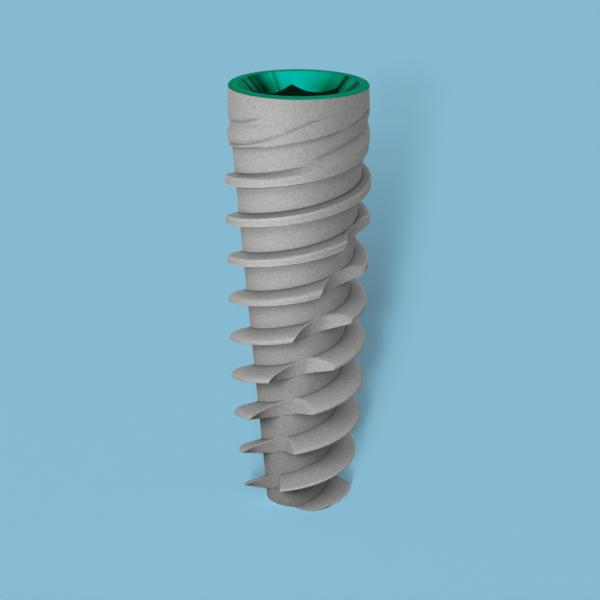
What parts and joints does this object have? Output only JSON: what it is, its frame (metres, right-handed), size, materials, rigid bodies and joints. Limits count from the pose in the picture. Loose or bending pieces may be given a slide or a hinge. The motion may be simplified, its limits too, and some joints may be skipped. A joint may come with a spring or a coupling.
{
  "type": "dental implant",
  "caption": "Tapered self-tapping dental implant: blasted titanium screw with deepening spiral threads, cutting flutes, micro-grooved neck and a green anodised internal hexagon connection.",
  "frame": {"origin": "centre of the flat tip face, on the screw axis", "axes": "+Z along the screw axis from the tip to the platform; the pictured side looks along -Y"},
  "size_m": [0.0042, 0.0042, 0.013],
  "materials": {
    "blasted_titanium": "matt grey, blasted and etched titanium, green anodised on the platform and inside the connection"
  },
  "bodies": {
    "root": {"implant_body": "blasted_titanium"}
  },
  "joints": []
}
